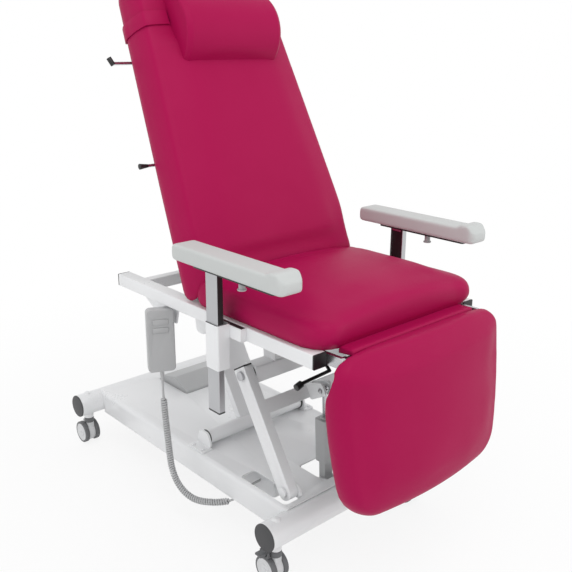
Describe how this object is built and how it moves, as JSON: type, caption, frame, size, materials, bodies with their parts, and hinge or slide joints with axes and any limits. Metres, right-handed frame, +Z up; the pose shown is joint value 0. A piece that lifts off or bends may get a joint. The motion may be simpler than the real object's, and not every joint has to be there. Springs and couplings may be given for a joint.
{
  "type": "recliner chair",
  "caption": "Height-adjustable treatment recliner with lift base on casters, reclining back, swing-up legrest, sliding armrests, head pillow and corded hand control.",
  "frame": {"origin": "on the floor, under the middle of the base between the caster sockets", "axes": "+Z up, -Y the way the sitter faces, +X to the sitter's left"},
  "size_m": [0.756, 1.3468, 1.5272],
  "materials": {
    "upholstery": "satin",
    "white_paint": "gloss",
    "dark_plastic": "matte",
    "pad_grey": "matte",
    "satin_aluminium": "satin",
    "bright_steel": "satin",
    "black_paint": "satin",
    "light_plastic": "satin",
    "wheel_grey": "matte",
    "board": "matte",
    "cord": "satin"
  },
  "bodies": {
    "base": {"base_deck": "white_paint", "front_cross_tube": "white_paint", "rear_cross_tube": "white_paint", "tube_end_caps": "dark_plastic", "lift_arm_brackets": "white_paint", "rear_link_brackets": "white_paint", "motor_bracket": "white_paint", "base_bolts": "bright_steel", "control_box": "dark_plastic", "battery_pack": "dark_plastic"},
    "lift_frame": {"lift_frame": "white_paint", "lift_arm_caps": "dark_plastic"},
    "rear_link": {"rear_link": "white_paint", "rear_link_caps": "dark_plastic"},
    "lift_motor": {"lift_motor": "light_plastic"},
    "lift_motor_rod": {"lift_motor_rod": "bright_steel"},
    "seat_frame": {"seat_underframe": "white_paint", "seat_rail_left": "white_paint", "seat_rail_right": "white_paint", "seat_frame_caps": "dark_plastic", "hinge_brackets": "bright_steel", "armrest_sleeves": "white_paint", "seat_board": "board", "seat_cushion": "upholstery", "handset_shell": "light_plastic", "handset_cord": "cord"},
    "backrest": {"back_board": "board", "back_cushion": "upholstery", "back_hinge_arms": "black_paint", "head_pillow": "upholstery", "pillow_strap": "upholstery"},
    "upper_back_lever": {"upper_back_lever": "black_paint"},
    "lower_back_lever": {"lower_back_lever": "black_paint"},
    "back_spring": {"back_spring_cylinder": "black_paint"},
    "back_spring_rod": {"back_spring_rod": "bright_steel"},
    "legrest": {"leg_board": "board", "leg_cushion": "upholstery", "front_roll": "upholstery", "leg_hinge_arms": "black_paint"},
    "leg_spring": {"leg_spring_cylinder": "black_paint"},
    "leg_spring_rod": {"leg_spring_rod": "bright_steel"},
    "leg_lever": {"leg_lever": "black_paint"},
    "handset_up_key": {"handset_up_key": "light_plastic"},
    "handset_down_key": {"handset_down_key": "light_plastic"},
    "armrest_left": {"armrest_left_post": "satin_aluminium", "armrest_left_pad": "pad_grey"},
    "armrest_left_button": {"armrest_left_button": "dark_plastic"},
    "armrest_right": {"armrest_right_post": "satin_aluminium", "armrest_right_pad": "pad_grey"},
    "armrest_right_button": {"armrest_right_button": "dark_plastic"},
    "caster_front_left": {"caster_front_left_fork": "light_plastic"},
    "caster_front_left_wheels": {"caster_front_left_wheels": "wheel_grey"},
    "caster_front_left_pedal": {"caster_front_left_pedal": "light_plastic"},
    "caster_front_right": {"caster_front_right_fork": "light_plastic"},
    "caster_front_right_wheels": {"caster_front_right_wheels": "wheel_grey"},
    "caster_front_right_pedal": {"caster_front_right_pedal": "light_plastic"},
    "caster_rear_left": {"caster_rear_left_fork": "light_plastic"},
    "caster_rear_left_wheels": {"caster_rear_left_wheels": "wheel_grey"},
    "caster_rear_right": {"caster_rear_right_fork": "light_plastic"},
    "caster_rear_right_wheels": {"caster_rear_right_wheels": "wheel_grey"}
  },
  "joints": [
    {"name": "lift", "type": "hinge", "parent": "base", "child": "lift_frame", "pos_m": [0, -0.44, 0.205], "axis": [1, 0, 0], "range_deg": [-30, 0], "deforming": ["handset_cord"]},
    {"name": "seat_level", "type": "hinge", "parent": "lift_frame", "child": "seat_frame", "pos_m": [0, -0.26513, 0.48486], "axis": [1, 0, 0], "range_deg": [0, 30]},
    {"name": "rear_link_swing", "type": "hinge", "parent": "base", "child": "rear_link", "pos_m": [0, -0.078, 0.216], "axis": [1, 0, 0], "range_deg": [-30, 0]},
    {"name": "lift_motor_tilt", "type": "hinge", "parent": "base", "child": "lift_motor", "pos_m": [0, -0.403, 0.143], "axis": [1, 0, 0], "range_deg": [-25, 0]},
    {"name": "lift_motor_stroke", "type": "slide", "parent": "lift_motor", "child": "lift_motor_rod", "axis": [0, 0.0469, 0.9989], "range_m": [-0.026, 0]},
    {"name": "backrest_recline", "type": "hinge", "parent": "seat_frame", "child": "backrest", "pos_m": [0, -0.15, 0.705], "axis": [-1, 0, 0], "range_deg": [0, 60]},
    {"name": "back_spring_tilt", "type": "hinge", "parent": "seat_frame", "child": "back_spring", "pos_m": [0.06, -0.44, 0.634], "axis": [-1, 0, 0], "range_deg": [-0.5, 2]},
    {"name": "back_spring_stroke", "type": "slide", "parent": "back_spring", "child": "back_spring_rod", "axis": [0, 0.9996, 0.0265], "range_m": [-0.074, 0]},
    {"name": "legrest_raise", "type": "hinge", "parent": "seat_frame", "child": "legrest", "pos_m": [0, -0.69, 0.676], "axis": [-1, 0, 0], "range_deg": [0, 75]},
    {"name": "leg_spring_tilt", "type": "hinge", "parent": "seat_frame", "child": "leg_spring", "pos_m": [-0.06, -0.255, 0.632], "axis": [-1, 0, 0], "range_deg": [-2, 0.5]},
    {"name": "leg_spring_stroke", "type": "slide", "parent": "leg_spring", "child": "leg_spring_rod", "axis": [0, -0.9999, 0.0107], "range_m": [0, 0.064]},
    {"name": "upper_back_lever_lift", "type": "hinge", "parent": "backrest", "child": "upper_back_lever", "pos_m": [-0.15, 0.15398, 1.29678], "axis": [0, 0.9026, -0.4305], "range_deg": [0, 12], "stiffness_Nm_per_rad": 1, "springref_deg": -11.46},
    {"name": "lower_back_lever_lift", "type": "hinge", "parent": "backrest", "child": "lower_back_lever", "pos_m": [-0.15, 0.02784, 1.03232], "axis": [0, 0.9026, -0.4305], "range_deg": [0, 12], "stiffness_Nm_per_rad": 1, "springref_deg": -11.46},
    {"name": "leg_lever_pull", "type": "hinge", "parent": "seat_frame", "child": "leg_lever", "pos_m": [-0.105, -0.443, 0.61], "axis": [-1, 0, 0], "range_deg": [0, 12], "stiffness_Nm_per_rad": 1, "springref_deg": -11.46},
    {"name": "armrest_left_height", "type": "slide", "parent": "seat_frame", "child": "armrest_left", "axis": [0, 0, 1], "range_m": [-0.1, 0.06]},
    {"name": "armrest_left_button_press", "type": "slide", "parent": "armrest_left", "child": "armrest_left_button", "axis": [0, 0, 1], "range_m": [0, 0.004], "stiffness_N_per_m": 800, "springref_m": -0.002},
    {"name": "armrest_right_height", "type": "slide", "parent": "seat_frame", "child": "armrest_right", "axis": [0, 0, 1], "range_m": [-0.1, 0.06]},
    {"name": "armrest_right_button_press", "type": "slide", "parent": "armrest_right", "child": "armrest_right_button", "axis": [0, 0, 1], "range_m": [0, 0.004], "stiffness_N_per_m": 800, "springref_m": -0.002},
    {"name": "handset_up_press", "type": "slide", "parent": "seat_frame", "child": "handset_up_key", "axis": [0.4226, 0.9063, 0], "range_m": [0, 0.002], "stiffness_N_per_m": 600, "springref_m": -0.002},
    {"name": "handset_down_press", "type": "slide", "parent": "seat_frame", "child": "handset_down_key", "axis": [0.4226, 0.9063, 0], "range_m": [0, 0.002], "stiffness_N_per_m": 600, "springref_m": -0.002},
    {"name": "caster_front_left_swivel", "type": "hinge", "parent": "base", "child": "caster_front_left", "pos_m": [-0.277, -0.497, 0.1], "axis": [0, 0, 1], "continuous": true},
    {"name": "caster_front_left_roll", "type": "hinge", "parent": "caster_front_left", "child": "caster_front_left_wheels", "pos_m": [-0.277, -0.483, 0.0375], "axis": [1, 0, 0], "continuous": true},
    {"name": "caster_front_left_brake", "type": "hinge", "parent": "caster_front_left", "child": "caster_front_left_pedal", "pos_m": [-0.301, -0.483, 0.089], "axis": [0, -1, 0], "range_deg": [0, 8]},
    {"name": "caster_front_right_swivel", "type": "hinge", "parent": "base", "child": "caster_front_right", "pos_m": [0.277, -0.497, 0.1], "axis": [0, 0, 1], "continuous": true},
    {"name": "caster_front_right_roll", "type": "hinge", "parent": "caster_front_right", "child": "caster_front_right_wheels", "pos_m": [0.277, -0.483, 0.0375], "axis": [1, 0, 0], "continuous": true},
    {"name": "caster_front_right_brake", "type": "hinge", "parent": "caster_front_right", "child": "caster_front_right_pedal", "pos_m": [0.301, -0.483, 0.089], "axis": [0, 1, 0], "range_deg": [0, 8]},
    {"name": "caster_rear_left_swivel", "type": "hinge", "parent": "base", "child": "caster_rear_left", "pos_m": [-0.277, 0.497, 0.1], "axis": [0, 0, 1], "continuous": true},
    {"name": "caster_rear_left_roll", "type": "hinge", "parent": "caster_rear_left", "child": "caster_rear_left_wheels", "pos_m": [-0.277, 0.511, 0.0375], "axis": [1, 0, 0], "continuous": true},
    {"name": "caster_rear_right_swivel", "type": "hinge", "parent": "base", "child": "caster_rear_right", "pos_m": [0.277, 0.497, 0.1], "axis": [0, 0, 1], "continuous": true},
    {"name": "caster_rear_right_roll", "type": "hinge", "parent": "caster_rear_right", "child": "caster_rear_right_wheels", "pos_m": [0.277, 0.511, 0.0375], "axis": [1, 0, 0], "continuous": true}
  ],
  "couplings": [
    {"joint": "seat_level", "follows": "lift", "ratio": -1},
    {"joint": "rear_link_swing", "follows": "lift", "ratio": 1},
    {"joint": "lift_motor_tilt", "follows": "lift", "ratio": 0.80861},
    {"joint": "lift_motor_stroke", "follows": "lift", "m_per_rad": 0.048707},
    {"joint": "back_spring_tilt", "follows": "backrest_recline", "ratio": 0.023737},
    {"joint": "back_spring_stroke", "follows": "backrest_recline", "m_per_rad": -0.069173},
    {"joint": "leg_spring_tilt", "follows": "legrest_raise", "ratio": -0.017796},
    {"joint": "leg_spring_stroke", "follows": "legrest_raise", "m_per_rad": 0.046823}
  ]
}
